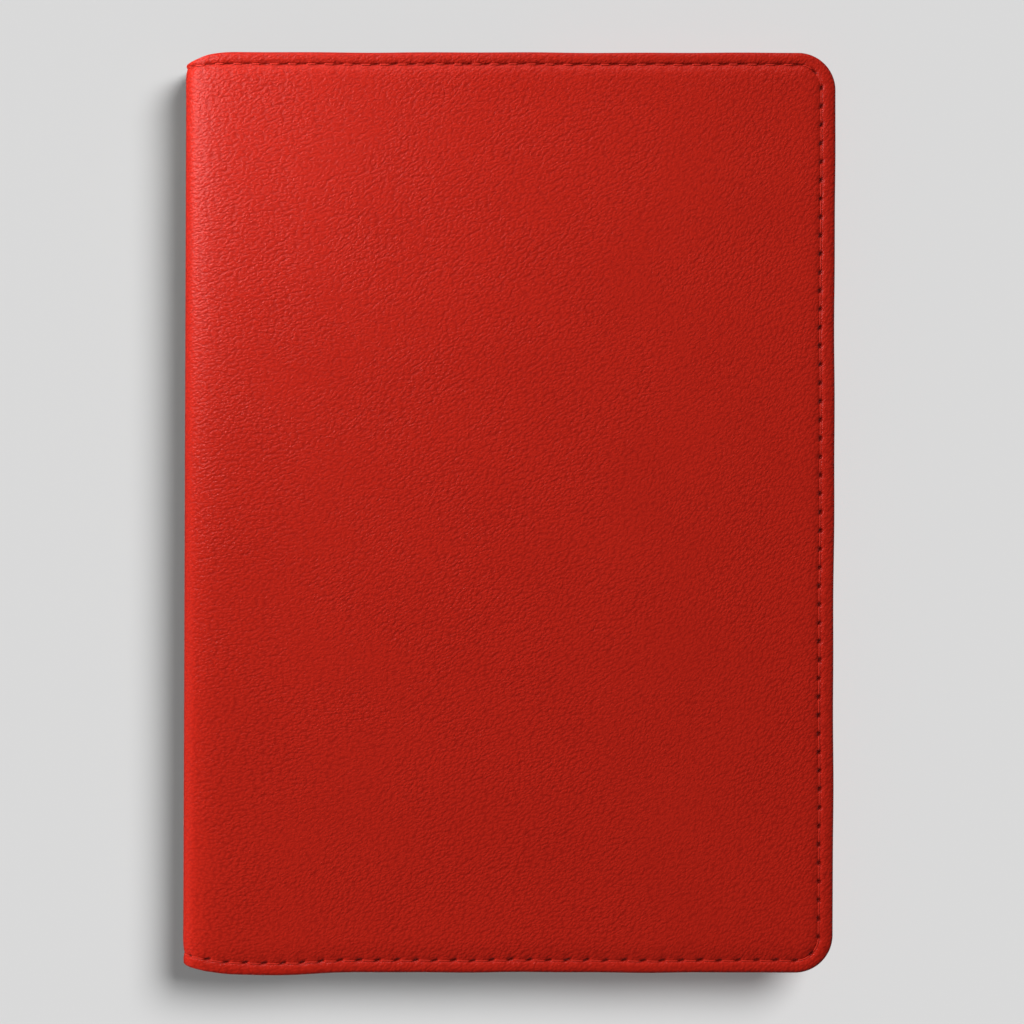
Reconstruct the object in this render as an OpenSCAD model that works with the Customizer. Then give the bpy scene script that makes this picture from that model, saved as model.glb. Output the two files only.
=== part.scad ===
// Slip-on leather cover for an A5 notebook, closed and lying on its back.
// +Z is up, +Y points to the head, +X to the fore-edge, and the spine is at -X.
// The origin is the centre of the footprint, on the surface the cover lies on.

/* [Cover] */
// Closed width, from the spine to the fore-edge
cover_w = 155.5; // [152:0.5:162]
// Height, from tail to head
cover_h = 220; // [216:0.5:228]
// Closed thickness
cover_t = 16; // [15.5:0.1:22]
// Radius of the two fore-edge corners
corner_r = 9; // [7.5:0.5:12]
// Outside radius of the two folds beside the spine
fold_r = 5.5; // [5:0.1:6]
// How far the head edge is drawn in at the spine
head_dip = 2.6; // [0.5:0.1:3]
// How far the tail edge is drawn in at the spine
tail_dip = 1.2; // [0.5:0.1:3]
// Distance from the spine over which the edges are drawn in
dip_len = 9; // [7:0.5:14]

/* [Layers] */
// Thickness of the outer leather
leather_t = 1.2; // [1.1:0.05:1.4]
// Thickness of the stiffening boards and of the turned-in hem beside them
board_t = 1; // [0.8:0.05:1.1]
// Width of the turned-in hem
hem_w = 6.2; // [5.6:0.1:7]
// Thickness of the lining
lining_t = 0.4; // [0.3:0.05:0.5]
// How far the lining and pockets stay inside the outer edge
lining_inset = 1.5; // [1:0.1:1.8]

/* [Pockets] */
// Width of each slip pocket, measured from the fore-edge
pocket_w = 68; // [50:1:72]
// Thickness of the pocket leather
pocket_t = 0.8; // [0.6:0.05:0.9]
// Height of the slot that the notebook's cover slips into
pocket_gap = 0.8; // [0.6:0.05:1]
// Width of the flat margin that the seam runs through
pocket_margin = 6; // [5.6:0.1:7]
// Width of the turned hem along the mouth of each pocket
pocket_hem = 7; // [5:0.5:9]

/* [Seam] */
// Distance of the seam from the fore-edge
seam_fore = 3.45; // [3:0.05:4]
// Distance of the seam from the head and tail edges
seam_ends = 2.95; // [2.8:0.05:3.6]
// Radius of the seam at the two corners
seam_r = 5.6; // [4:0.1:6.5]
// Thickness of the sewing thread
thread_d = 0.45; // [0.3:0.05:0.45]
// Length of the thread that shows in each stitch
stitch_len = 3; // [2:0.1:3.2]
// Width of the groove that the stitches lie in
groove_w = 1.1; // [1:0.05:1.3]
// Depth of the groove
groove_d = 0.5; // [0.48:0.01:0.55]
// Number of stitches along the head of each panel
n_head = 32; // [20:1:40]
// Number of stitches along the fore-edge
n_fore = 46; // [30:1:56]
// Number of stitches along the tail of each panel
n_tail = 31; // [20:1:40]

/* [Hidden] */
$fn = 48;

xl = -cover_w / 2;             // outside of the spine
xr = cover_w / 2;              // fore-edge
yh = cover_h / 2;
x0 = xl + fold_r;              // where each panel ends and its fold begins
z0 = fold_r;                   // where the back fold ends and the flat spine begins
z1 = leather_t;                // inner face of the outer leather
z2 = z1 + board_t;             // inner face of the board
z3 = z2 + lining_t;            // inner face of the lining
z4 = z3 + pocket_t;            // inner face of the pocket's sewn margin
z5 = z3 + pocket_gap;          // pocket leather over the slot
z6 = z5 + pocket_t;
fold_in = fold_r - leather_t;  // inner radius of the folded leather
fold_lin = fold_in - lining_t; // inner radius of the folded lining
pocket_x = xr - lining_inset - pocket_w;
seam_x = xr - seam_fore;
seam_y = yh - seam_ends;
thread_z = groove_d - thread_d / 2 - 0.005;

red = [0.62, 0.09, 0.07];
dark_red = [0.36, 0.05, 0.06];
thread_red = [0.55, 0.06, 0.05];

// Each fold turns about a line inside the leather, so that the leather keeps
// its length. The two hinge axes run along Y through these points.
neutral_r = 4.8;
hinge_off = (PI / 4) * neutral_r;
back_hinge = [x0 - hinge_off, z0 - hinge_off];
front_hinge = [x0 - hinge_off, cover_t - z0 + hinge_off];

// How far an edge is drawn in at distance u from the outside of the spine.
function dip(u, depth) = u >= dip_len ? 0 : depth * pow(1 - max(u, 0) / dip_len, 1.6);
// At the head the edge is drawn in more than the seam inside it.
function head_y(x, inset) = yh - inset - dip(x - xl, head_dip) * (1 - 0.2 * min(inset, 3));
function tail_y(x, inset) = -yh + inset + dip(x - xl, tail_dip);

// Whether a stitch whose middle is at x lies at least partly on the pocket.
function over_pocket(x) = x + stitch_len / 2 > pocket_x - 0.1;

// ---- plan shapes ----

// A panel seen from above, from x = from to the fore-edge, with two round corners.
module plan(from, in_x, in_y, r) {
    x2 = xr - in_x;
    y2 = yh - in_y;
    union() {
        translate([from, -y2]) square([x2 - r - from, 2 * y2]);
        translate([from, -y2 + r]) square([x2 - from, 2 * (y2 - r)]);
        for (s = [-1, 1]) translate([x2 - r, s * (y2 - r)]) circle(r);
    }
}

// What the drawn-in edges take away near the spine.
module dips(in_y) {
    n = 7;
    polygon(concat(
        [for (i = [0:n]) let(x = xl + dip_len * i / n) [x, head_y(x, in_y)]],
        [[xl + dip_len, yh + 4], [xl - 3, yh + 4], [xl - 3, head_y(xl, in_y)]]));
    polygon(concat(
        [for (i = [0:n]) let(x = xl + dip_len * i / n) [x, tail_y(x, in_y)]],
        [[xl + dip_len, -yh - 4], [xl - 3, -yh - 4], [xl - 3, tail_y(xl, in_y)]]));
}

module shape2d(from, in_x, in_y, r) {
    difference() {
        plan(from, in_x, in_y, r);
        dips(in_y);
    }
}

module outline(inset, from = x0) {
    shape2d(from, inset, inset, corner_r - inset);
}

// The strip that the stitches lie in. It is wider where the seam runs round a fold.
module seam_strip(from, extra = 0) {
    g = groove_w / 2 + extra;
    difference() {
        shape2d(from, seam_fore - g, seam_ends - g, seam_r + g);
        shape2d(from - 5, seam_fore + g, seam_ends + g, seam_r - g);
    }
}

module layer(low, high) {
    translate([0, 0, low]) linear_extrude(high - low) children();
}

// The front of the cover is the back turned over.
module turned_over() {
    translate([0, 0, cover_t]) mirror([0, 0, 1]) children();
}

// ---- one panel, as it lies at the back ----

module panel_leather() {
    difference() {
        layer(0, z2) outline(0);
        layer(z1, z2 + 1) shape2d(x0 - 2, hem_w, hem_w, corner_r - hem_w);
        layer(-1, groove_d) seam_strip(x0 - 2);
    }
}

module panel_board() {
    layer(z1, z2) shape2d(x0 + 0.4, hem_w + 0.1, hem_w + 0.1, corner_r - hem_w - 0.1);
}

module panel_lining() {
    layer(z2, z3) outline(lining_inset);
}

// The part of the pocket's leather that stands clear of the lining, over the slot.
module panel_pocket() {
    layer(z5, z6) outline(pocket_margin, pocket_x);
}

// The part of the same leather that is sewn down on three sides of the slot.
module panel_pocket_edge() {
    difference() {
        union() {
            layer(z3, z4) outline(lining_inset, pocket_x);
            layer(z3, z5) outline(pocket_margin, pocket_x);
        }
        layer(z3 - 1, z6) shape2d(pocket_x - 2, pocket_margin + 1, pocket_margin + 1, corner_r - pocket_margin - 1);
        layer(z5, z6) outline(pocket_margin, pocket_x - 2);
    }
}

module stitch(len = stitch_len) {
    rotate([0, 90, 0]) cylinder(d = thread_d, h = len, center = true, $fn = 24);
}

// Stitches along the head, round the fore-edge and back along the tail. They lie at
// height z over the pocket, and at z_beside next to it.
module seam_run(z, z_beside) {
    head_from = x0 + 0.6;
    head_len = seam_x - seam_r - head_from;
    fore_len = 2 * (seam_y - seam_r);
    for (i = [0:n_head - 1]) {
        x = head_from + head_len * (i + 0.5) / n_head;
        translate([x, head_y(x, seam_ends), over_pocket(x) ? z : z_beside]) stitch();
    }
    for (i = [0:n_tail - 1]) {
        x = head_from + head_len * (i + 0.5) / n_tail;
        translate([x, tail_y(x, seam_ends), over_pocket(x) ? z : z_beside]) stitch();
    }
    for (i = [0:n_fore - 1])
        translate([seam_x, -fore_len / 2 + fore_len * (i + 0.5) / n_fore, z]) rotate([0, 0, 90]) stitch();
    for (s = [-1, 1], a = [22.5, 67.5])
        translate([seam_x - seam_r, s * (seam_y - seam_r), 0]) rotate([0, 0, s * a])
            translate([seam_r, 0, z]) rotate([0, 0, 90]) stitch(2.6);
}

module panel_needle_thread() {
    seam_run(thread_z, thread_z);
}

// Inside, the stitches lie on the pocket's sewn edge, and on the lining beside it.
module panel_bobbin_thread() {
    seam_run(z4 + thread_d / 2 + 0.005, z3 + thread_d / 2 + 0.005);
}

// One row of stitches holds the turned hem at the mouth of the pocket.
module panel_pocket_hem_thread() {
    n = 47;
    y1 = yh - pocket_margin - 3;
    for (i = [0:n - 1])
        translate([pocket_x + pocket_hem - 2.2, -y1 + 2 * y1 * (i + 0.5) / n, z6 + thread_d / 2 + 0.005])
            rotate([0, 0, 90]) stitch();
}

// ---- folds and spine ----

// A quarter ring along Y, between radii ri and ro, where the back turns up into the spine.
module quarter(ri, ro, depth = cover_h + 10) {
    intersection() {
        translate([x0, 0, z0]) rotate([90, 0, 0]) difference() {
            cylinder(r = ro, h = depth, center = true, $fn = 96);
            cylinder(r = ri, h = depth + 2, center = true, $fn = 96);
        }
        translate([x0 - ro - 1, -depth, z0 - ro - 1]) cube([ro + 1, 2 * depth, ro + 1]);
    }
}

module fold_leather() {
    difference() {
        intersection() {
            quarter(fold_in, fold_r);
            layer(-1, z0 + 1) outline(0, xl - 0.5);
        }
        intersection() {
            quarter(fold_r - groove_d, fold_r + 1);
            layer(-1, z0 + 1) seam_strip(xl - 3, 0.2);
        }
    }
}

module fold_lining() {
    intersection() {
        quarter(fold_lin, fold_in);
        layer(-1, z0 + 1) outline(lining_inset, xl - 0.5);
    }
}

// Two curved stitches at the head and two at the tail, outside and inside.
module fold_thread() {
    for (k = [[fold_r - groove_d + thread_d / 2 + 0.005, 30], [fold_lin - thread_d / 2 - 0.005, 30]])
        for (a = [7.5, 52.5]) {
            xm = x0 - k[0] * sin(a + k[1] / 2);
            for (y = [head_y(xm, seam_ends), tail_y(xm, seam_ends)])
                translate([x0, y, z0]) rotate([90, 0, 0]) rotate([0, 0, 270 - a - k[1]])
                    rotate_extrude(angle = k[1], $fn = 96) translate([k[0], 0]) circle(d = thread_d, $fn = 24);
        }
}

module spine_wall(from_x, to_x, inset) {
    translate([from_x, tail_y(from_x, inset), z0])
        cube([to_x - from_x, head_y(from_x, inset) - tail_y(from_x, inset), cover_t - 2 * z0]);
}

module spine_stitches(x) {
    for (y = [head_y(xl, seam_ends), tail_y(xl, seam_ends)])
        translate([x, y, cover_t / 2]) rotate([0, 90, 0]) stitch(min(stitch_len, cover_t - 2 * z0 - 0.4));
}

// ---- the pieces ----

module back_leather() color(red) panel_leather();
module back_board() color("tan") panel_board();
module back_lining() color(dark_red) panel_lining();
module back_pocket() color(red) panel_pocket();
module back_pocket_edge() color(red) panel_pocket_edge();
module back_needle_thread() color(thread_red) panel_needle_thread();
module back_bobbin_thread() color(thread_red) panel_bobbin_thread();
module back_pocket_hem_thread() color(thread_red) panel_pocket_hem_thread();
module back_fold_leather() color(red) fold_leather();
module back_fold_lining() color(dark_red) fold_lining();
module back_fold_thread() color(thread_red) fold_thread();

module spine_leather() color(red) difference() {
    spine_wall(xl, xl + leather_t, 0);
    for (y = [head_y(xl, seam_ends), tail_y(xl, seam_ends)])
        translate([xl - 1, y - groove_w / 2, 0]) cube([1 + groove_d, groove_w, cover_t]);
}
module spine_board() color("tan")
    translate([xl + leather_t, tail_y(xl, hem_w), z0 + 0.3])
        cube([board_t, head_y(xl, hem_w) - tail_y(xl, hem_w), cover_t - 2 * z0 - 0.6]);
module spine_lining() color(dark_red) spine_wall(xl + leather_t + board_t, xl + leather_t + board_t + lining_t, lining_inset);
module spine_needle_thread() color(thread_red) spine_stitches(xl + thread_z);
module spine_bobbin_thread() color(thread_red) spine_stitches(xl + z3 + thread_d / 2 + 0.005);

module front_fold_leather() color(red) turned_over() fold_leather();
module front_fold_lining() color(dark_red) turned_over() fold_lining();
module front_fold_thread() color(thread_red) turned_over() fold_thread();
module front_leather() color(red) turned_over() panel_leather();
module front_board() color("tan") turned_over() panel_board();
module front_lining() color(dark_red) turned_over() panel_lining();
module front_pocket() color(red) turned_over() panel_pocket();
module front_pocket_edge() color(red) turned_over() panel_pocket_edge();
module front_needle_thread() color(thread_red) turned_over() panel_needle_thread();
module front_bobbin_thread() color(thread_red) turned_over() panel_bobbin_thread();
module front_pocket_hem_thread() color(thread_red) turned_over() panel_pocket_hem_thread();

back_leather();
back_board();
back_lining();
back_pocket();
back_pocket_edge();
back_needle_thread();
back_bobbin_thread();
back_pocket_hem_thread();
back_fold_leather();
back_fold_lining();
back_fold_thread();
spine_leather();
spine_board();
spine_lining();
spine_needle_thread();
spine_bobbin_thread();
front_fold_leather();
front_fold_lining();
front_fold_thread();
front_leather();
front_board();
front_lining();
front_pocket();
front_pocket_edge();
front_needle_thread();
front_bobbin_thread();
front_pocket_hem_thread();
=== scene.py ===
import math

import bpy
import numpy as np
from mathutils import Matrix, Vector


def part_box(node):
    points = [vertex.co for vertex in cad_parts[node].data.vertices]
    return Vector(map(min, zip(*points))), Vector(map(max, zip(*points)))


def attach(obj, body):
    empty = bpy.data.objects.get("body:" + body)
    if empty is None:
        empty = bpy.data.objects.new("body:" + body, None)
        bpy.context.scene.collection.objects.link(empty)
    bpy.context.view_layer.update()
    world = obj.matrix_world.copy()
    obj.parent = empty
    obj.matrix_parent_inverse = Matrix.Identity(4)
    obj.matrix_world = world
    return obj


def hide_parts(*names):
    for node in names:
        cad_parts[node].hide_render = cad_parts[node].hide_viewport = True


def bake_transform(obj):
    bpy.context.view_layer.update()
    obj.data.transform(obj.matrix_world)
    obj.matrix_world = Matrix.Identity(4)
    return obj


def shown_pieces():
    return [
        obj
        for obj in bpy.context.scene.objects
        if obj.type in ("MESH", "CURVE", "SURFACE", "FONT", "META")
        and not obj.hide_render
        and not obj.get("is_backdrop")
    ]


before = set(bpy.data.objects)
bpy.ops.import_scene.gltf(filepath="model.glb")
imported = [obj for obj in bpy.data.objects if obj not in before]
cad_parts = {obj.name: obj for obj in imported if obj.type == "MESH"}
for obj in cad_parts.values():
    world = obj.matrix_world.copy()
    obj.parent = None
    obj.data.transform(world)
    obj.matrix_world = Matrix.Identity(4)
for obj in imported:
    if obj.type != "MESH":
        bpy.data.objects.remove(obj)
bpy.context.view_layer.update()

# All the shapes below are worked out in millimetres and made in metres.
MM = 0.001
rng = np.random.default_rng(7)


def box_mm(node):
    lo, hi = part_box(node)
    return np.array(lo) * 1000, np.array(hi) * 1000


# ------------------------------------------------------------------ sizes, read from the frame
lo_f, hi_f = box_mm("front_leather")
lo_q, hi_q = box_mm("front_fold_leather")
lo_s, hi_s = box_mm("spine_leather")
lo_l, hi_l = box_mm("front_lining")
lo_p, hi_p = box_mm("front_pocket")
lo_e, hi_e = box_mm("front_pocket_edge")
XR, YH, T = hi_f[0], hi_f[1], hi_f[2]          # fore-edge, half height, thickness
XL = lo_s[0]                                    # outside of the spine
X0 = lo_f[0]                                    # where panel ends and fold begins
R = X0 - XL                                     # outside radius of the folds
LEATHER = hi_s[0] - lo_s[0]                     # thickness of the leather
RIM = hi_f[2] - lo_f[2]                         # thickness of the turned edge
LINING = hi_l[2] - lo_l[2]
IN_L = XR - hi_l[0]                             # lining's inset from the edge
POCKET_X = lo_e[0]                              # mouth of the pocket
H_LIN = -(T - lo_l[2])                          # inner face of the lining, as a height over the outer face
H_EDGE = -(T - lo_e[2])                         # inner face of the pocket's sewn edge
H_POCK = -(T - lo_p[2])                         # inner face of the pocket
MID = T / 2
SPINE = (T - 2 * R) / 2                         # half of the flat spine
ARC = math.pi / 2 * R
FLAT = SPINE + ARC                              # developed distance from mid spine to the panel
S = FLAT + XR - X0                              # developed distance from mid spine to the fore-edge
CR = 9.0                                        # corner radius
SEAM_X, SEAM_Y, SEAM_R = 3.45, 2.95, 5.6        # the seam's insets and its corner radius
HEAD_DIP, TAIL_DIP, DIP_LEN = 2.6, 1.2, 13.0
SHEAR = 0.0022                                  # the real cover isn't quite square


# ------------------------------------------------------------------ the cover's cross-section
def section(s):
    """Point and outward normal in x and z at developed distance s from mid spine, for the upper half."""
    s = np.asarray(s, float)
    phi = np.clip((s - SPINE) / R, 0, math.pi / 2)
    nx, nz = -np.cos(phi), np.sin(phi)
    x = X0 + R * nx + np.maximum(s - FLAT, 0)
    z = MID + np.minimum(s, SPINE) + R * nz
    return x, z, nx, nz


def smooth(t):
    t = np.clip(t, 0, 1)
    return t * t * (3 - 2 * t)


def dip(s, depth):
    u = section(s)[0] - XL
    return depth * np.maximum(1 - u / DIP_LEN, 0) ** 2.4


def wave(t, *terms):
    return sum(a * np.sin(2 * math.pi * t / w + p) for a, w, p in terms)


def shift(s, y, side):
    """How far the real cover strays from its plain outline. The edges are drawn in at the spine and waver a little."""
    tail = smooth(1 - (y + YH - 12) / 60)
    head = smooth(1 - (YH - y - 12) / 60)
    x = section(s)[0]
    away = smooth((x - XL) / 8) * smooth((XR - x - 6) / 25)
    k = 1.0 if side > 0 else -1.0
    deep = 1 - 0.26 * np.minimum(np.maximum(YH - y, 0), 3)
    bulge = -0.74 * np.exp(-((x + 57) / 15.0) ** 2) * smooth((x - XL - 2) / 10)
    dy = tail * (dip(s, TAIL_DIP) + bulge + 0.06 + away * wave(x, (0.07, 47, 0.4 * k), (0.04, 21, 1.1)))
    dy = dy + head * (-0.15 - dip(s, HEAD_DIP) * deep + away * wave(x, (0.05, 61, 2.0), (0.04, 26, 0.3 * k)))
    up = smooth((YH - np.abs(y) - 8) / 30)
    fore = smooth((s - (S - 30)) / 24)
    ds = fore * up * (wave(y, (0.08, 83, 0.8 * k), (0.04, 31, 2.2)))
    return ds, dy


def undulate(s, y, side):
    """Soft unevenness of the leather's face."""
    k = 0.0 if side > 0 else 2.4
    u = 0.035 * np.sin(s / 11.0 + 0.8 * np.sin(y / 23.0 + k)) * np.sin(y / 17.0 + 0.6 * np.sin(s / 19.0) + k)
    u += 0.03 * np.sin(s / 27.0 + y / 41.0 + k)
    if side < 0:
        u = u - 0.13        # the back is pressed flat by what it lies on
    return u * smooth((s - FLAT + 3) / 10)


def ease(s):
    """The face leans down a little into the fold, so the fold has no hard start."""
    v = np.asarray(s, float) - FLAT + 1.9
    return -0.8 / (np.exp(np.clip(v / 2.6, -30, 30)) + np.exp(np.clip(-v, -30, 30)))


def place(s, y, h, side, texture=None):
    """3-D points in mm for developed (s, y) and height h over the outer face."""
    ds, dy = shift(s, y, side)
    x, z, nx, nz = section(s + ds)
    px = x + nx * h + SHEAR * y
    pz = z + nz * h
    if side < 0:
        pz = T - pz
    return np.stack([px, y + dy, pz], -1)


# ------------------------------------------------------------------ mesh helpers
def make(name, verts, faces, material, smooth_shade=True, dev=None, extra=None):
    """A mesh object from points in mm. dev is the developed place of each point, for the grain."""
    me = bpy.data.meshes.new(name)
    me.from_pydata([tuple(v) for v in np.asarray(verts) * MM], [], faces)
    me.update()
    if dev is not None:
        a = me.attributes.new("grain", "FLOAT_VECTOR", "POINT")
        a.data.foreach_set("vector", np.asarray(dev, np.float32).ravel())
        uv = me.uv_layers.new(name="UVMap")
        idx = np.zeros(len(me.loops), np.int32)
        me.loops.foreach_get("vertex_index", idx)
        d = np.asarray(dev, np.float32)[:, :2] / 400.0 + 0.5
        uv.data.foreach_set("uv", d[idx].ravel())
    for k, v in (extra or {}).items():
        a = me.attributes.new(k, "FLOAT", "POINT")
        a.data.foreach_set("value", np.asarray(v, np.float32))
    me.shade_smooth() if smooth_shade else None
    ob = bpy.data.objects.new(name, me)
    bpy.context.scene.collection.objects.link(ob)
    me.materials.append(material)
    return ob


def strip(a, b, flip=False):
    """Quads between two rows of vertex numbers of the same length."""
    q = np.stack([a[:-1], a[1:], b[1:], b[:-1]], -1)
    return (q[:, ::-1] if flip else q).tolist()


def recalc(ob, outside_from=None):
    """Makes the faces point away from the leather's middle."""
    import bmesh
    bm = bmesh.new()
    bm.from_mesh(ob.data)
    bmesh.ops.recalc_face_normals(bm, faces=bm.faces)
    bm.to_mesh(ob.data)
    bm.free()


# ------------------------------------------------------------------ stations round the three free edges
D_IN = 12.0
DENSE = 4


def stations():
    """Coarse stations: along tail and head as developed distance, along the fore-edge as y, all on the inner rectangle."""
    end = S - D_IN
    fold = np.linspace(0, 13.2, 22)
    rest = np.linspace(13.2, end, int((end - 13.2) / 1.25) + 1)
    tail = np.concatenate([fold, rest[1:]])
    top = YH - D_IN
    fore = np.linspace(-top, top, int(2 * top / 1.25) + 1)
    return tail, fore


TAIL, FORE = stations()


def finer(a, n):
    i = np.arange((len(a) - 1) * n + 1) / n
    return np.interp(i, np.arange(len(a)), a)


def insets(d):
    g = np.interp(d, [0, 3.2, 8.0], [0, 0.25, 0])
    return d + g, d - g


def ring(d, tail, fore):
    """(s, y) of every station on the ring at inset d: along the tail, up the fore-edge and back along the head."""
    dx, dy = insets(d)
    r = max(CR - d, 0.0)
    m = 26.0
    out = []
    # tail and head
    e = S - dx - r
    length = e + math.pi / 4 * r
    end = S - D_IN
    arc = tail + (length - end) * np.clip((tail - (end - m)) / m, 0, 1)
    th = np.clip((arc - e) / r, 0, math.pi / 4) if r > 0 else np.zeros_like(arc)
    s = np.where(arc > e, e + r * np.sin(th), arc)
    yy = np.where(arc > e, (YH - dy - r) + r * np.cos(th), YH - dy)
    # fore-edge
    e2 = YH - dy - r
    length2 = e2 + math.pi / 4 * r
    top = YH - D_IN
    pos = np.abs(fore) + (length2 - top) * np.clip((np.abs(fore) - (top - m)) / m, 0, 1)
    th2 = np.clip((pos - e2) / r, 0, math.pi / 4) if r > 0 else np.zeros_like(pos)
    s2 = np.where(pos > e2, e + r * np.cos(th2), S - dx)
    y2 = np.sign(fore) * np.where(pos > e2, e2 + r * np.sin(th2), pos)
    ss = np.concatenate([s, s2[1:-1], s[::-1]])
    ys = np.concatenate([-yy, y2[1:-1], yy[::-1]])
    return ss, ys


# ------------------------------------------------------------------ the seam
def seam_path():
    """Points (s, y) along the seam line from the tail at mid spine to the head at mid spine, and its running length."""
    e, f = S - SEAM_X - SEAM_R, YH - SEAM_Y - SEAM_R
    a = np.linspace(0, math.pi / 2, 40)
    pts = [(0, -YH + SEAM_Y), (e, -YH + SEAM_Y)]
    pts += [(e + SEAM_R * math.sin(t), -f - SEAM_R * math.cos(t)) for t in a[1:]]
    pts += [(S - SEAM_X, f)]
    pts += [(e + SEAM_R * math.cos(t), f + SEAM_R * math.sin(t)) for t in a[1:]]
    pts += [(0, YH - SEAM_Y)]
    p = np.array(pts, float)
    run = np.concatenate([[0], np.cumsum(np.hypot(*np.diff(p, axis=0).T))])
    return p, run


SEAM, RUN = seam_path()


def seam_cells():
    """Where each stitch's cell begins and ends along the seam, the same count and places as the CAD stitches."""
    head_from = FLAT + 0.6
    e, f = S - SEAM_X - SEAM_R, YH - SEAM_Y - SEAM_R
    total = RUN[-1]
    tail = [SPINE, SPINE + ARC / 2, head_from]
    n_tail, n_fore, n_head = 31, 46, 32
    cells = [(-SPINE, SPINE), (tail[0], tail[1]), (tail[1], tail[2])]
    w = (e - head_from) / n_tail
    cells += [(head_from + i * w, head_from + (i + 1) * w) for i in range(n_tail)]
    a0 = e
    q = math.pi / 2 * SEAM_R
    cells += [(a0, a0 + q / 2), (a0 + q / 2, a0 + q)]
    a1 = a0 + q
    w = 2 * f / n_fore
    cells += [(a1 + i * w, a1 + (i + 1) * w) for i in range(n_fore)]
    a2 = a1 + 2 * f
    cells += [(a2, a2 + q / 2), (a2 + q / 2, a2 + q)]
    a3 = a2 + q
    w = (e - head_from) / n_head
    cells += [(a3 + i * w, a3 + (i + 1) * w) for i in range(n_head)]
    cells += [(total - tail[2], total - tail[1]), (total - tail[1], total - tail[0]), (total - SPINE, total + SPINE)]
    return np.array(cells, float)


CELLS = seam_cells()


def on_seam(g, across=0.0):
    """(s, y) at running length g along the seam, moved across it, inwards positive."""
    g = np.asarray(g, float)
    gc = np.clip(g, 0, RUN[-1])
    s = np.interp(gc, RUN, SEAM[:, 0]) + np.where(g < 0, g, 0) + np.where(g > RUN[-1], RUN[-1] - g, 0)
    y = np.interp(gc, RUN, SEAM[:, 1])
    e = 0.4
    s1, y1 = np.interp(gc - e, RUN, SEAM[:, 0]), np.interp(gc - e, RUN, SEAM[:, 1])
    s2, y2 = np.interp(gc + e, RUN, SEAM[:, 0]), np.interp(gc + e, RUN, SEAM[:, 1])
    tx, ty = s2 - s1, y2 - y1
    ln = np.hypot(tx, ty) + 1e-9
    return s - ty / ln * across, y + tx / ln * across


JIT = rng.normal(0, 1, (len(CELLS) + 1, 4))     # every stitch varies a little, as in any sewn line


def side_values(g, tail, fore, head):
    """A value for each place on the seam: one for the tail, one for the fore-edge and one for the head, blended at the corners."""
    e, f = S - SEAM_X - SEAM_R, YH - SEAM_Y - SEAM_R
    q = math.pi / 2 * SEAM_R
    at = [0, e, e + q, e + q + 2 * f, e + 2 * q + 2 * f, RUN[-1]]
    return np.interp(g, at, [tail, tail, fore, fore, head, head])


# A slot is the dip where one stitch ends and the next begins. Each lies aslant, as a lockstitch does.
SLOT_G = np.concatenate([CELLS[:, 0], [CELLS[-1, 1]]])
SLOT_LEN = side_values(SLOT_G, 1.9, 1.22, 2.9) * (1 + 0.08 * JIT[:, 0])
SLOT_WIDE = side_values(SLOT_G, 0.56, 0.80, 0.52)
SLOT_SLOPE = side_values(SLOT_G, 0.34, -0.16, 0.13) + 0.05 * JIT[:, 1]
SLOT_DEEP = side_values(SLOT_G, 0.42, 0.52, 0.24) * (1 + 0.06 * JIT[:, 2])
SLOT_OFF = 0.05 * JIT[:, 3]
THREAD_OFF = side_values(SLOT_G, -0.16, 0.0, -0.02)
for k in range(len(SLOT_G)):
    if SLOT_G[k] < FLAT or SLOT_G[k] > RUN[-1] - FLAT:
        SLOT_LEN[k], SLOT_SLOPE[k], SLOT_OFF[k] = 1.3, 0.0, 0.0


def furrow(g, c):
    """The wide hollow that the seam pulls into the leather: broad at head and tail, slight along the fore-edge."""
    deep = side_values(g, 0.28, 0.05, 0.27)
    fold = smooth((np.minimum(g, RUN[-1] - g) - FLAT + 2) / 6)
    deep = deep * (0.35 + 0.65 * fold)
    out = side_values(g, 1.35, 0.9, 1.15)
    inn = side_values(g, 2.5, 1.0, 1.25)
    return -deep * np.exp(-(c / np.where(np.asarray(c) < 0, out, inn)) ** 2)


# Strength of the painted shade in each needle slot, for tail, fore-edge and head: it stands in for the shadow down in
# the hole.
SLOT_SHADE = side_values(SLOT_G, 0.78, 0.95, 0.36)


def seam_relief(g, c):
    """How the leather sinks round the stitches, and how much painted shade goes into the slots there. g is the running
    length and c the distance inwards from the seam line.
    """
    j = np.clip(np.searchsorted(SLOT_G, g), 1, len(SLOT_G) - 1)
    slot = np.zeros_like(g)
    mask = np.zeros_like(g)
    pucker = np.zeros_like(g)
    for k in (j - 1, j):
        a = g - SLOT_G[k]
        o = c - SLOT_OFF[k] - SLOT_SLOPE[k] * a
        shape = np.exp(-1.1 * (np.abs(a / (SLOT_LEN[k] / 2)) ** 4 + np.abs(o / (SLOT_WIDE[k] / 2)) ** 2.2))
        slot = np.maximum(slot, SLOT_DEEP[k] * shape)
        # the slot's painted shade, standing in for the shadow in the needle hole
        mask = np.maximum(mask, shape * SLOT_SHADE[k])
        pucker = np.maximum(pucker, np.exp(-(a / 1.35) ** 2))
    lo, hi = SLOT_G[j - 1], SLOT_G[j]
    mid, half = (lo + hi) / 2, (hi - lo) / 2
    u = np.clip(np.abs(g - mid) / half, 0, 1)
    off = THREAD_OFF[j]
    between = smooth((1 - u) / 0.4)
    trench = 0.23 * between * np.exp(-((c - off) / 0.26) ** 2)
    gather = (0.03 + 0.12 * pucker) * np.exp(-(c / 0.85) ** 2) + 0.04 * pucker * np.exp(-(c / 1.9) ** 2)
    return -np.maximum(slot, trench) - gather, mask


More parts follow.
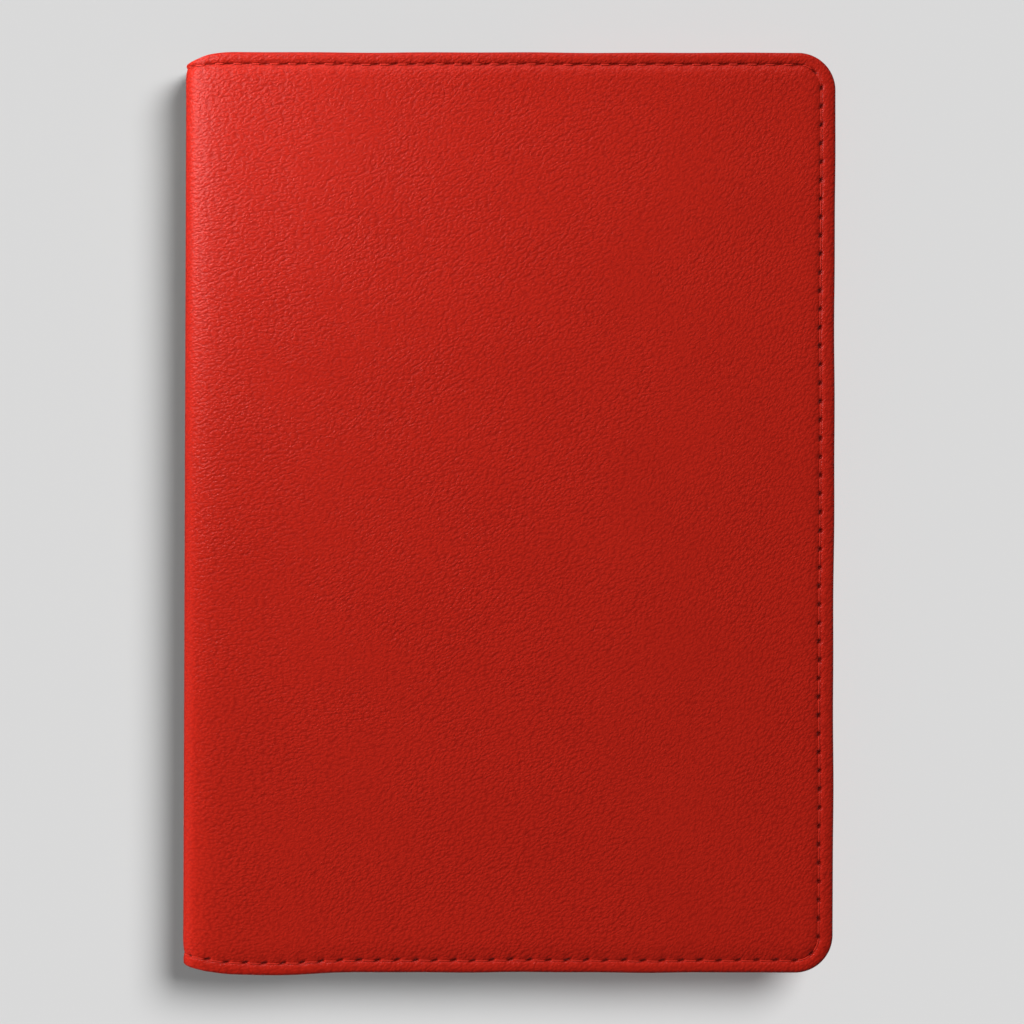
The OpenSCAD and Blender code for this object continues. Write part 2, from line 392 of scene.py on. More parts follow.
def base_relief(d):
    """Height of the outer face by distance from the edge, without the stitches."""
    pts_d = [0.0, 0.9, 1.35, 1.8, 2.3, 2.8, 3.2, 3.7, 4.3, 5.0, 6.0, 7.5, 9.5, 12.0]
    pts_h = [-0.36, -0.20, -0.085, -0.01, 0.01, -0.02, -0.06, -0.05, 0.0, 0.03, 0.05, 0.05, 0.02, 0.0]
    return np.interp(d, pts_d, pts_h)


OUT_D = [5.9, 5.3, 4.8, 4.45, 4.18, 3.96, 3.78, 3.62, 3.48, 3.35, 3.22, 3.09, 2.96, 2.82, 2.66, 2.48, 2.25, 1.98, 1.7, 1.4]
COARSE_D = [12.0, 10.6, 9.4, 8.4, 7.4, 6.6]


def roll(n=9):
    """The rounded edge: inset and height from the outer face round to the turned-in hem."""
    a = np.linspace(0, math.pi, n + 2)[1:-1]
    r = RIM / 2
    pts = [(r * (1 - math.sin(t) ** 0.9) * 1.0, -r + r * math.cos(t)) for t in a]
    return [(max(d, 0.0), h) for d, h in pts]


def leather_half(name, side, material):
    """The outer leather of one cover with its fold and half of the spine: face, turned edge and hem, in one mesh."""
    verts, dev, slot_shade, faces = [], [], [], []
    count = 0

    def add(s, y, h, d, w):
        nonlocal count
        p = place(s, y, h, side)
        verts.append(p)
        dev.append(np.stack([s * side, y, np.zeros_like(s) + d], -1))
        slot_shade.append(np.broadcast_to(w, s.shape))
        ids = np.arange(count, count + len(s))
        count += len(s)
        return ids

    tail_f, fore_f = finer(TAIL, DENSE), finer(FORE, DENSE)
    s_ring, y_ring = ring(3.2, tail_f, fore_f)
    # running length along the seam at each dense station
    g = np.concatenate([[0], np.cumsum(np.hypot(np.diff(s_ring), np.diff(y_ring)))])
    g = g * RUN[-1] / g[-1]

    def crinkle(s, y):
        return undulate(s, y, side) + ease(s)

    # coarse rings, outermost last
    rows = []
    for d in COARSE_D:
        s, y = ring(d, TAIL, FORE)
        h = base_relief(d) + furrow(g[::DENSE], d - 3.2) + crinkle(s, y)
        rows.append(add(s, y, h, d, 0.0))
    for a, b in zip(rows[:-1], rows[1:]):
        faces += strip(a, b)
    # dense rings
    dense = []
    for d in OUT_D:
        s, y = ring(d, tail_f, fore_f)
        sink, mask = seam_relief(g, d - 3.2)
        h = base_relief(d) + furrow(g, d - 3.2) + sink + crinkle(s, y)
        # painted shade: dark in the slots, and a faint band along the seam line's groove
        dense.append(add(s, y, h, d, np.clip(mask + 0.10 * math.exp(-((d - 3.2) / 0.7) ** 2), 0, 1)))
    # the step from coarse to dense, one polygon to each coarse cell
    c, f = rows[-1], dense[0]
    for i in range(len(c) - 1):
        k = i * DENSE
        faces.append([int(c[i]), int(c[i + 1])] + [int(f[k + j]) for j in range(DENSE, -1, -1)])
    edge = roll()
    for n, (d, h0) in enumerate(edge):
        s, y = ring(d, tail_f, fore_f)
        fade = max(0.0, 1 - n / 5.0)
        h = h0 + (base_relief(d) * 0.3 + furrow(g, d - 3.2) + crinkle(s, y)) * fade
        dense.append(add(s, y, h, d, 0.0))
    for d in (1.2, 1.9, 2.6):
        s, y = ring(d, tail_f, fore_f)
        dense.append(add(s, y, np.full_like(s, -RIM), d, 0.0))
    for a, b in zip(dense[:-1], dense[1:]):
        faces += strip(a, b)
    # the face inside the innermost ring
    ni, nj = len(TAIL), len(FORE)
    inner = rows[0]
    top = YH - D_IN
    grid = np.zeros((ni, nj), int)
    grid[:, 0] = inner[:ni]
    grid[-1, 1:-1] = inner[ni:ni + nj - 2]
    grid[:, -1] = inner[ni + nj - 2:][::-1]
    ii, jj = np.meshgrid(np.arange(ni - 1), np.arange(1, nj - 1), indexing="ij")
    s = TAIL[ii.ravel()]
    y = FORE[jj.ravel()]
    ids = add(s, y, crinkle(s, y), 12.0, 0.0)
    grid[ii.ravel(), jj.ravel()] = ids
    q = np.stack([grid[:-1, :-1], grid[1:, :-1], grid[1:, 1:], grid[:-1, 1:]], -1).reshape(-1, 4)
    faces += q.tolist()
    v = np.concatenate(verts)
    # the seam attribute carries the painted shade of the slots and the seam line
    ob = make(name, v, faces, material, dev=np.concatenate(dev), extra={"seam": np.concatenate(slot_shade)})
    recalc(ob)
    return ob


# ------------------------------------------------------------------ threads
def tube(points, normals, radius, sides=10, ply=3, turns=0.9, phase=0.0):
    """A twisted thread through points. Returns vertices and faces."""
    p = np.asarray(points, float)
    n = len(p)
    t = np.gradient(p, axis=0)
    t /= np.linalg.norm(t, axis=1)[:, None] + 1e-12
    up = np.asarray(normals, float)
    side = np.cross(t, up)
    side /= np.linalg.norm(side, axis=1)[:, None] + 1e-12
    up = np.cross(side, t)
    run = np.concatenate([[0], np.cumsum(np.linalg.norm(np.diff(p, axis=0), axis=1))])
    ang = np.linspace(0, 2 * math.pi, sides, endpoint=False)
    a = ang[None, :]
    swirl = ply * (a - 2 * math.pi * turns * run[:, None]) + phase
    r = radius * (1 + 0.13 * np.cos(swirl))
    v = p[:, None, :] + r[..., None] * (np.cos(a)[..., None] * side[:, None, :] + np.sin(a)[..., None] * up[:, None, :])
    v = v.reshape(-1, 3)
    i, j = np.meshgrid(np.arange(n - 1), np.arange(sides), indexing="ij")
    k = (j + 1) % sides
    f = np.stack([i * sides + j, i * sides + k, (i + 1) * sides + k, (i + 1) * sides + j], -1).reshape(-1, 4).tolist()
    f.append(list(range(sides))[::-1])
    f.append([(n - 1) * sides + q for q in range(sides)])
    return v, f


def surface_point(s, y, h, side):
    p = place(s, y, h, side)
    x, z, nx, nz = section(s)
    nrm = np.stack([nx, np.zeros_like(nx), nz * side], -1)
    return p, nrm


def stitch_set(cells_idx, side, surface, radius, inner=False):
    """Stitches of the seam as twisted tubes from slot to slot. surface is a function giving the height of the face they lie on."""
    vs, fs, count = [], [], 0
    u = np.concatenate([[0, 0.03, 0.07, 0.12], np.linspace(0.2, 0.8, 8), [0.88, 0.93, 0.97, 1]])
    for c in cells_idx:
        k0, k1 = c, c + 1
        if inner:
            a, b = SLOT_G[k0] + 0.5, SLOT_G[k1] - 0.5
            o0, o1 = 0.12, -0.12
        else:
            a = SLOT_G[k0] + 0.36 * SLOT_LEN[k0]
            b = SLOT_G[k1] - 0.36 * SLOT_LEN[k1]
            o0 = THREAD_OFF[k0] * 0.6 + 0.4 * SLOT_SLOPE[k0] * SLOT_LEN[k0] * 0.2
            o1 = THREAD_OFF[k1] * 1.3
        g = a + (b - a) * u
        across = o0 + (o1 - o0) * u + 0.02 * JIT[c, 2]
        s, y = on_seam(g, across)
        fall = np.maximum(0, 1 - u / 0.16) ** 1.8 + np.maximum(0, 1 - (1 - u) / 0.16) ** 1.8
        sgn = -1.0 if inner else 1.0
        h = surface(s, y, g, across) + sgn * (0.03 * np.sin(math.pi * u) + 0.01 * JIT[c, 3] - 0.62 * fall)
        p, nrm = surface_point(s, y, h, side)
        v, f = tube(p, nrm * sgn, radius, phase=JIT[c, 1])
        vs.append(v)
        fs += [[q + count for q in face] for face in f]
        count += len(v)
    return np.concatenate(vs), fs


# ------------------------------------------------------------------ lining
LIN_COARSE = [2.0, 2.7, 3.2, 3.7, 4.6, 6.0, 7.6, 9.4, 12.0]


def lining_face(s, y):
    """Height of the lining's visible face. It follows the boards in the covers and the spine, and the leather in the folds."""
    thin = -(LEATHER + LINING)
    k = smooth((s - (FLAT - 0.9)) / 1.2) + smooth(((SPINE + 0.9) - s) / 1.2)
    h = thin + (H_LIN - thin) * np.clip(k, 0, 1)
    h = h + 0.012 * np.sin(s / 4.1 + 1.3 * np.sin(y / 9.0)) * np.sin(y / 6.3)
    return h


def edge_distance(s, y):
    return np.minimum(S - s, YH - np.abs(y))


def lining_half(name, side, material):
    verts, dev, faces, count = [], [], [], 0

    def add(s, y, h):
        nonlocal count
        verts.append(place(s, y, h, side))
        dev.append(np.stack([s * side, y, np.zeros_like(s)], -1))
        ids = np.arange(count, count + len(s))
        count += len(s)
        return ids

    rows = []
    fine_t, fine_f = finer(TAIL, 2), finer(FORE, 2)
    for d, up in ((IN_L + 0.4, 0.42), (IN_L, 0.38), (IN_L - 0.03, 0.2), (IN_L + 0.02, 0.06), (IN_L + 0.15, 0.0)):
        s, y = ring(d, fine_t, fine_f)
        rows.append(add(s, y, lining_face(s, y) + up))
    for d in LIN_COARSE:
        s, y = ring(d, fine_t, fine_f)
        rows.append(add(s, y, lining_face(s, y) + 0.14 * math.exp(-((d - 3.2) / 0.5) ** 2)))
    for a, b in zip(rows[:-1], rows[1:]):
        faces += strip(a, b)
    ni, nj = len(fine_t), len(fine_f)
    grid = np.zeros((ni, nj), int)
    last = rows[-1]
    grid[:, 0] = last[:ni]
    grid[-1, 1:-1] = last[ni:ni + nj - 2]
    grid[:, -1] = last[ni + nj - 2:][::-1]
    ii, jj = np.meshgrid(np.arange(ni - 1), np.arange(1, nj - 1), indexing="ij")
    s, y = fine_t[ii.ravel()], fine_f[jj.ravel()]
    grid[ii.ravel(), jj.ravel()] = add(s, y, lining_face(s, y))
    faces += np.stack([grid[:-1, :-1], grid[1:, :-1], grid[1:, 1:], grid[:-1, 1:]], -1).reshape(-1, 4).tolist()
    ob = make(name, np.concatenate(verts), faces, material, dev=np.concatenate(dev))
    recalc(ob)
    return ob


# ------------------------------------------------------------------ pockets
SP = S - (XR - POCKET_X)                        # developed place of the pocket's mouth
HEM_LINE = 4.8                                  # the hem's stitches, from the mouth
POCKET_T = H_LIN - H_EDGE
POCKET_D = [1.95, 2.45, 2.8, 3.05, 3.2, 3.35, 3.6, 4.0, 4.5, 5.0, 5.5, 6.0, 6.5, 7.1, 8.0, 9.6, 12.0]


def pocket_face(s, y, d=None):
    """Height of the pocket's visible face: sewn down along three edges, clear of the lining inside them."""
    if d is None:
        d = edge_distance(s, y)
    lift = smooth((d - 4.4) / 3.0)
    h = H_EDGE + (H_POCK - H_EDGE) * lift
    belly = smooth((YH - 14 - np.abs(y)) / 60) * smooth(1 - (s - SP) / 48)
    h = h - 0.55 * belly * lift
    h = h - 0.03 * lift * np.sin(s / 9.0 + 1.2) * np.sin(y / 14.0 + 0.5)
    h = h - 0.22 * smooth((7.2 - (s - SP)) / 0.9) * lift      # the turned hem is double
    h = h + 0.16 * np.exp(-(((s - SP) - HEM_LINE) / 0.45) ** 2) * smooth((YH - 8 - np.abs(y)) / 2)
    h = h + 0.20 * np.exp(-((d - 3.2) / 0.42) ** 2)
    return h


def pocket(name, side, material):
    verts, dev, faces, count = [], [], [], 0

    def add(s, y, h):
        nonlocal count
        verts.append(place(s, y, h, side))
        dev.append(np.stack([s * side + 600 * side, y + 37, np.zeros_like(s)], -1))
        ids = np.arange(count, count + len(s))
        count += len(s)
        return ids

    end = S - D_IN
    tail = np.concatenate([SP + np.array([0, 0.25, 0.6, 1.2, 2.0, 2.8, 3.6, 4.1, 4.45, 4.8, 5.15, 5.5, 6.0, 6.5, 6.9, 7.3, 7.8]), np.linspace(SP + 8.8, end, 44)])
    fore = finer(FORE, 1)
    rows, info = [], []

    def row(d, h):
        s, y = ring(d, tail, fore)
        # the mouth's own column stays where the mouth is
        hh = h(s, y)
        rows.append(add(s, y, hh))
        info.append((s[0], y[0], hh[0], y[-1], hh[-1]))

    for d, f in ((IN_L + 0.35, 1.0), (IN_L, 0.94), (IN_L - 0.04, 0.5), (IN_L, 0.12), (IN_L + 0.14, 0.0)):
        row(d, lambda s, y, f=f, d=d: pocket_face(s, y, np.full_like(s, IN_L + 0.2)) * (1 - f) + f * H_LIN)
    for d in POCKET_D:
        row(d, lambda s, y, d=d: pocket_face(s, y, np.full_like(s, d)))
    for a, b in zip(rows[:-1], rows[1:]):
        faces += strip(a, b)
    ni, nj = len(tail), len(fore)
    grid = np.zeros((ni, nj), int)
    last = rows[-1]
    grid[:, 0] = last[:ni]
    grid[-1, 1:-1] = last[ni:ni + nj - 2]
    grid[:, -1] = last[ni + nj - 2:][::-1]
    ii, jj = np.meshgrid(np.arange(ni - 1), np.arange(1, nj - 1), indexing="ij")
    s, y = tail[ii.ravel()], fore[jj.ravel()]
    hh = pocket_face(s, y, np.full_like(s, 12.0))
    grid[ii.ravel(), jj.ravel()] = add(s, y, hh)
    faces += np.stack([grid[:-1, :-1], grid[1:, :-1], grid[1:, 1:], grid[:-1, 1:]], -1).reshape(-1, 4).tolist()
    # the mouth: round the turned edge and back underneath
    mouth_ids = [int(r[0]) for r in rows] + [int(i) for i in grid[0, 1:-1]] + [int(r[-1]) for r in rows[::-1]]
    my = np.array([i[1] for i in info] + list(fore[1:-1]) + [i[3] for i in info[::-1]])
    mh = np.array([i[2] for i in info] + list(pocket_face(np.full(nj - 2, SP), fore[1:-1], np.full(nj - 2, 12.0))) + [i[4] for i in info[::-1]])
    clear = smooth((np.minimum(YH - np.abs(my), 12) - 4.2) / 3.0)
    under = np.minimum(mh + (POCKET_T + 0.24 * clear), H_LIN - 0.02)
    prev = mouth_ids
    for ds, f in ((-0.22, 0.10), (-0.34, 0.45), (-0.24, 0.85), (0.0, 1.0), (3.5, 1.0), (9.0, 1.0), (16.0, 1.0)):
        ss = np.full_like(my, SP + ds)
        h = mh + (under - mh) * f
        if ds > 1:
            h = np.minimum(pocket_face(ss, my, np.minimum(YH - np.abs(my), 12.0)) + POCKET_T, H_LIN - 0.02)
        ids = add(ss, my, h)
        faces += strip(np.array(prev), ids)
        prev = ids
    ob = make(name, np.concatenate(verts), faces, material, dev=np.concatenate(dev))
    recalc(ob)
    return ob


def hem_stitches(side, radius):
    """The row of stitches that holds the pocket's turned hem, in the places of the CAD's."""
    n = 47
    y1 = YH - 9.0
    vs, fs, count = [], [], 0
    u = np.concatenate([[0, 0.04, 0.1], np.linspace(0.2, 0.8, 7), [0.9, 0.96, 1]])
    jj = np.random.default_rng(31).normal(0, 1, (n, 2))
    for i in range(n):
        a, b = -y1 + 2 * y1 * i / n + 0.5, -y1 + 2 * y1 * (i + 1) / n - 0.5
        y = a + (b - a) * u
        s = SP + HEM_LINE + 0.14 * (2 * u - 1) + 0.02 * jj[i, 0]
        fall = np.maximum(0, 1 - u / 0.15) ** 1.8 + np.maximum(0, 1 - (1 - u) / 0.15) ** 1.8
        h = pocket_face(s, y, np.full_like(s, 12.0)) - 0.10 - 0.03 * np.sin(math.pi * u) + 0.55 * fall
        p, nrm = surface_point(s, y, h, side)
        v, f = tube(p, -nrm, radius, phase=jj[i, 1])
        vs.append(v)
        fs += [[q + count for q in face] for face in f]
        count += len(v)
    return np.concatenate(vs), fs


# ------------------------------------------------------------------ materials
def new_material(name):
    m = bpy.data.materials.new(name)
    m.use_nodes = True
    nt = m.node_tree
    nt.nodes.clear()
    out = nt.nodes.new("ShaderNodeOutputMaterial")
    b = nt.nodes.new("ShaderNodeBsdfPrincipled")
    nt.links.new(b.outputs[0], out.inputs[0])
    return m, nt, b


def node(nt, kind, **kw):
    n = nt.nodes.new("ShaderNode" + kind)
    for k, v in kw.items():
        if k.startswith("in_"):
            n.inputs[k[3:].replace("_", " ")].default_value = v
        else:
            setattr(n, k, v)
    return n


def math_node(nt, op, a, b=None, clamp=False):
    n = nt.nodes.new("ShaderNodeMath")
    n.operation = op
    n.use_clamp = clamp
    for i, x in enumerate((a, b)):
        if x is None:
            continue
        if isinstance(x, (int, float)):
            n.inputs[i].default_value = x
        else:
            nt.links.new(x, n.inputs[i])
    return n.outputs[0]


def remap(nt, x, a, b, c=0.0, d=1.0, kind="SMOOTHSTEP"):
    n = nt.nodes.new("ShaderNodeMapRange")
    n.interpolation_type = kind
    nt.links.new(x, n.inputs[0])
    for i, v in enumerate((a, b, c, d)):
        n.inputs[i + 1].default_value = v
    return n.outputs[0]


def leather_material(name, colour, dark, grain=1.0, rough=0.345, cell=0.66):
    """Red leather with fine pebbled grain and flowing wrinkles. It reads the developed place of each point."""
    m, nt, b = new_material(name)
    L = nt.links
    at = node(nt, "Attribute", attribute_name="grain")
    sep = node(nt, "SeparateXYZ")
    L.new(at.outputs["Vector"], sep.inputs[0])
    pos = node(nt, "CombineXYZ")
    L.new(sep.outputs[0], pos.inputs[0])
    L.new(sep.outputs[1], pos.inputs[1])

    def directional(angle, stretch, scale, seed, warp=0.35):
        """Cells drawn out along a direction: distance to the border of each, 0 in the crease."""
        mp = node(nt, "Mapping", vector_type="TEXTURE")
        mp.inputs["Rotation"].default_value = (0, 0, math.radians(angle))
        mp.inputs["Scale"].default_value = (cell * stretch, cell, cell)
        mp.inputs["Location"].default_value = (seed * 13.1, seed * 7.7, 0)
        w = node(nt, "TexNoise", noise_dimensions="2D")
        w.inputs["Scale"].default_value = 0.8
        w.inputs["Detail"].default_value = 2.0
        L.new(pos.outputs[0], w.inputs["Vector"])
        ws = node(nt, "VectorMath", operation="SCALE")
        ws.inputs["Scale"].default_value = warp * 2.2
        L.new(w.outputs["Color"], ws.inputs[0])
        ad = node(nt, "VectorMath", operation="ADD")
        L.new(pos.outputs[0], ad.inputs[0])
        L.new(ws.outputs[0], ad.inputs[1])
        L.new(ad.outputs[0], mp.inputs["Vector"])
        vo = node(nt, "TexVoronoi", voronoi_dimensions="2D", feature="SMOOTH_F1")
        vo.inputs["Scale"].default_value = scale
        vo.inputs["Smoothness"].default_value = 0.22
        L.new(mp.outputs[0], vo.inputs["Vector"])
        return vo.outputs["Distance"], mp.outputs[0]

    a, _ = directional(10, 1.65, 1.0, 1)
    c, vc = directional(32, 1.7, 1.0, 2)
    e, _ = directional(50, 1.65, 1.0, 3)
    # the grain's direction turns from along the ends at the spine to steep at the fore-edge
    low = node(nt, "TexNoise", noise_dimensions="2D")
    low.inputs["Scale"].default_value = 0.028
    low.inputs["Detail"].default_value = 1.5
    L.new(pos.outputs[0], low.inputs["Vector"])
    drift = math_node(nt, "MULTIPLY", math_node(nt, "SUBTRACT", low.outputs[0], 0.5), 60.0)
    where = math_node(nt, "ADD", math_node(nt, "ABSOLUTE", sep.outputs[0]), drift)
    m1 = remap(nt, where, 22, 58)
    m2 = remap(nt, where, 96, 150)
    mix1 = node(nt, "Mix", data_type="FLOAT")
    L.new(m1, mix1.inputs[0])
    L.new(a, mix1.inputs[2])
    L.new(c, mix1.inputs[3])
    mix2 = node(nt, "Mix", data_type="FLOAT")
    L.new(m2, mix2.inputs[0])
    L.new(mix1.outputs[0], mix2.inputs[2])
    L.new(e, mix2.inputs[3])
    cells = mix2.outputs[0]
    # fine pores and the longer, shallow wrinkles
    fine = node(nt, "TexNoise", noise_dimensions="2D")
    fine.inputs["Scale"].default_value = 2.4
    fine.inputs["Detail"].default_value = 3.0
    fine.inputs["Roughness"].default_value = 0.6
    L.new(pos.outputs[0], fine.inputs["Vector"])
    mp2 = node(nt, "Mapping", vector_type="TEXTURE")
    mp2.inputs["Rotation"].default_value = (0, 0, math.radians(34))
    mp2.inputs["Scale"].default_value = (3.6, 1.15, 1)
    L.new(pos.outputs[0], mp2.inputs["Vector"])
    wr = node(nt, "TexNoise", noise_dimensions="2D")
    wr.inputs["Scale"].default_value = 0.62
    wr.inputs["Detail"].default_value = 2.5
    wr.inputs["Distortion"].default_value = 0.6
    L.new(mp2.outputs[0], wr.inputs["Vector"])
    crease = math_node(nt, "ABSOLUTE", math_node(nt, "SUBTRACT", wr.outputs[0], 0.5))
    crease = remap(nt, crease, 0.0, 0.075)
    # patches where the grain is stronger or fainter
    patch = node(nt, "TexNoise", noise_dimensions="2D")
    patch.inputs["Scale"].default_value = 0.075
    patch.inputs["Detail"].default_value = 2.0
    L.new(pos.outputs[0], patch.inputs["Vector"])
    amp = remap(nt, patch.outputs[0], 0.32, 0.68, 0.80, 1.06)
    hgt = math_node(nt, "MULTIPLY", cells, -1.0)
    hgt = math_node(nt, "ADD", hgt, math_node(nt, "MULTIPLY", fine.outputs[0], 0.55))
    hgt = math_node(nt, "ADD", hgt, math_node(nt, "MULTIPLY", crease, 0.10))
    hgt = math_node(nt, "MULTIPLY", hgt, amp)
    bump = node(nt, "Bump")
    bump.inputs["Strength"].default_value = 0.62 * grain
    bump.inputs["Distance"].default_value = 0.00022
    L.new(hgt, bump.inputs["Height"])
    L.new(bump.outputs[0], b.inputs["Normal"])
    # colour: darker in the creases and in broad soft patches
    tone = node(nt, "TexNoise", noise_dimensions="2D")
    tone.inputs["Scale"].default_value = 0.045
    tone.inputs["Detail"].default_value = 4.0
    L.new(pos.outputs[0], tone.inputs["Vector"])
    f1 = remap(nt, cells, 0.22, 0.72, 0.0, 0.40)
    f2 = remap(nt, tone.outputs[0], 0.30, 0.72, 0.0, 0.07)
    f3 = math_node(nt, "MULTIPLY", math_node(nt, "SUBTRACT", 1.0, crease), 0.03)
    fac = math_node(nt, "ADD", math_node(nt, "ADD", f1, f2), f3, clamp=True)
    sm = node(nt, "Attribute", attribute_name="seam")
    mix = node(nt, "Mix", data_type="RGBA")
    L.new(fac, mix.inputs[0])
    mix.inputs[6].default_value = (*colour, 1)
    mix.inputs[7].default_value = (*dark, 1)
    # painted shade: the needle slots and the seam line are darkened in the colour, standing in for the shadow in them
    slot_shade_mix = node(nt, "Mix", data_type="RGBA")
    L.new(remap(nt, sm.outputs["Fac"], 0.08, 0.80, 0.0, 0.90), slot_shade_mix.inputs[0])
    L.new(mix.outputs[2], slot_shade_mix.inputs[6])
    slot_shade_mix.inputs[7].default_value = (0.150, 0.0050, 0.0026, 1)
    L.new(slot_shade_mix.outputs[2], b.inputs["Base Color"])
    rr = remap(nt, cells, 0.2, 0.8, rough - 0.03, rough + 0.10)
    L.new(rr, b.inputs["Roughness"])
    b.inputs["Specular IOR Level"].default_value = 0.30
    b.inputs["Sheen Weight"].default_value = 0.0
    return m


def thread_material():
    m, nt, b = new_material("waxed_thread")
    L = nt.links
    tc = node(nt, "TexCoord")
    n = node(nt, "TexNoise")
    n.inputs["Scale"].default_value = 2600.0
    n.inputs["Detail"].default_value = 2.0
    L.new(tc.outputs["Object"], n.inputs["Vector"])
    mix = node(nt, "Mix", data_type="RGBA")
    L.new(n.outputs[0], mix.inputs[0])
    mix.inputs[6].default_value = (0.48, 0.0190, 0.0100, 1)
    mix.inputs[7].default_value = (0.60, 0.0280, 0.0140, 1)
    L.new(mix.outputs[2], b.inputs["Base Color"])
    bump = node(nt, "Bump")
    bump.inputs["Strength"].default_value = 0.35
    bump.inputs["Distance"].default_value = 0.00005
    L.new(n.outputs[0], bump.inputs["Height"])
    L.new(bump.outputs[0], b.inputs["Normal"])
    b.inputs["Roughness"].default_value = 0.55
    b.inputs["Specular IOR Level"].default_value = 0.25
    return m


def lining_material():
    m, nt, b = new_material("twill_lining")
    L = nt.links
    at = node(nt, "Attribute", attribute_name="grain")
    sep = node(nt, "SeparateXYZ")
    L.new(at.outputs["Vector"], sep.inputs[0])
    # twill: diagonal ribs at a pitch of 0.55 mm, broken by the weft
    diag = math_node(nt, "ADD", math_node(nt, "MULTIPLY", sep.outputs[0], 11.4), math_node(nt, "MULTIPLY", sep.outputs[1], 11.4))
    rib = math_node(nt, "SINE", diag)
    weft = math_node(nt, "SINE", math_node(nt, "MULTIPLY", sep.outputs[1], 22.8))
    warp = math_node(nt, "SINE", math_node(nt, "MULTIPLY", sep.outputs[0], 22.8))
    h = math_node(nt, "ADD", rib, math_node(nt, "MULTIPLY", math_node(nt, "ADD", weft, warp), 0.28))
    n = node(nt, "TexNoise", noise_dimensions="2D")
    n.inputs["Scale"].default_value = 0.9
    n.inputs["Detail"].default_value = 4.0
    L.new(at.outputs["Vector"], n.inputs["Vector"])
    bump = node(nt, "Bump")
    bump.inputs["Strength"].default_value = 0.5
    bump.inputs["Distance"].default_value = 0.00006
    L.new(h, bump.inputs["Height"])
    L.new(bump.outputs[0], b.inputs["Normal"])
    fac = math_node(nt, "ADD", remap(nt, rib, -1, 1, 0, 0.5), math_node(nt, "MULTIPLY", n.outputs[0], 0.5), clamp=True)
    mix = node(nt, "Mix", data_type="RGBA")
    L.new(fac, mix.inputs[0])
    mix.inputs[6].default_value = (0.075, 0.008, 0.010, 1)
    mix.inputs[7].default_value = (0.155, 0.017, 0.019, 1)
    L.new(mix.outputs[2], b.inputs["Base Color"])
    b.inputs["Roughness"].default_value = 0.78
    b.inputs["Sheen Weight"].default_value = 0.25
    b.inputs["Sheen Roughness"].default_value = 0.4
    return m


def board_material():
    m, nt, b = new_material("grey_board")
    L = nt.links
    tc = node(nt, "TexCoord")
    n = node(nt, "TexNoise")
    n.inputs["Scale"].default_value = 900.0
    n.inputs["Detail"].default_value = 5.0
    L.new(tc.outputs["Object"], n.inputs["Vector"])
    mix = node(nt, "Mix", data_type="RGBA")
    L.new(n.outputs[0], mix.inputs[0])
    mix.inputs[6].default_value = (0.40, 0.33, 0.25, 1)
    mix.inputs[7].default_value = (0.58, 0.50, 0.40, 1)
    L.new(mix.outputs[2], b.inputs["Base Color"])
    b.inputs["Roughness"].default_value = 0.9
    return m


COVER = leather_material("red_leather", (0.515, 0.0184, 0.0088), (0.330, 0.0083, 0.0040))
POCKET = leather_material("pocket_leather", (0.470, 0.0150, 0.0080), (0.270, 0.0065, 0.0042), grain=0.6, cell=0.6)
THREAD = thread_material()
LIN = lining_material()
BOARD = board_material()

for n in ("back_board", "front_board", "spine_board"):
    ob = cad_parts[n]
    ob.data.materials.clear()
    ob.data.materials.append(BOARD)

# ------------------------------------------------------------------ the pieces
PIECES = {}
fold_axis = {}


def bend(ob):
    """Bakes the piece's placement into its mesh."""
    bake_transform(ob)
    return ob


for side, word in ((1, "front"), (-1, "back")):
    ob = leather_half(word + "_cover_leather", side, COVER)
    bend(ob)
    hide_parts(word + "_leather", word + "_fold_leather", "spine_leather")
    PIECES[ob.name] = ob


for side, word in ((1, "front"), (-1, "back")):
    ob = lining_half(word + "_lining_cloth", side, LIN)
    bend(ob)
    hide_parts(word + "_lining", word + "_fold_lining", "spine_lining")
    ob = pocket(word + "_slip_pocket", side, POCKET)
    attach(ob, word + "_cover")
    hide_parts(word + "_pocket", word + "_pocket_edge")


# ------------------------------------------------------------------ stitches
def outer_face(s, y, g, c):
    return -0.315 + furrow(g, c) + ease(s)


def inner_face(s, y, g, c):
    d = edge_distance(s, y)
    on_pocket = smooth((s - SP + 0.4) / 0.5)
    p = pocket_face(s, y, np.full_like(s, 3.2)) - 0.10
    q = lining_face(s, y) + 0.14 - 0.10
    return p * on_pocket + q * (1 - on_pocket)


n_cells = len(CELLS)
fold_cells = [1, 2, n_cells - 3, n_cells - 2]
spine_cells = [0, n_cells - 1]
panel_cells = [c for c in range(n_cells) if c not in fold_cells + spine_cells]


def sew(name, cells, side, inner, put, nodes):
    v, f = stitch_set(cells, side, inner_face if inner else outer_face, 0.21 if inner else 0.235, inner=inner)
    ob = make(name, v, f, THREAD)
    put(ob)
    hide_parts(*nodes)


for side, word in ((1, "front"), (-1, "back")):
    ride = lambda ob, w=word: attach(ob, w + "_cover")
    sew(word + "_needle_stitches", panel_cells, side, False, ride, [word + "_needle_thread"])
    sew(word + "_bobbin_stitches", panel_cells, side, True, ride, [word + "_bobbin_thread"])
    sew(word + "_fold_needle_stitches", fold_cells, side, False, lambda ob, k=side: bend(ob), [word + "_fold_thread"])
    sew(word + "_fold_bobbin_stitches", fold_cells, side, True, lambda ob, k=side: bend(ob), [word + "_fold_thread"])
    v, f = hem_stitches(side, 0.21)
    ob = make(word + "_pocket_hem_stitches", v, f, THREAD)
    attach(ob, word + "_cover")
    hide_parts(word + "_pocket_hem_thread")
sew("spine_needle_stitches", spine_cells, 1, False, lambda ob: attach(ob, "spine"), ["spine_needle_thread"])
sew("spine_bobbin_stitches", spine_cells, 1, True, lambda ob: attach(ob, "spine"), ["spine_bobbin_thread"])


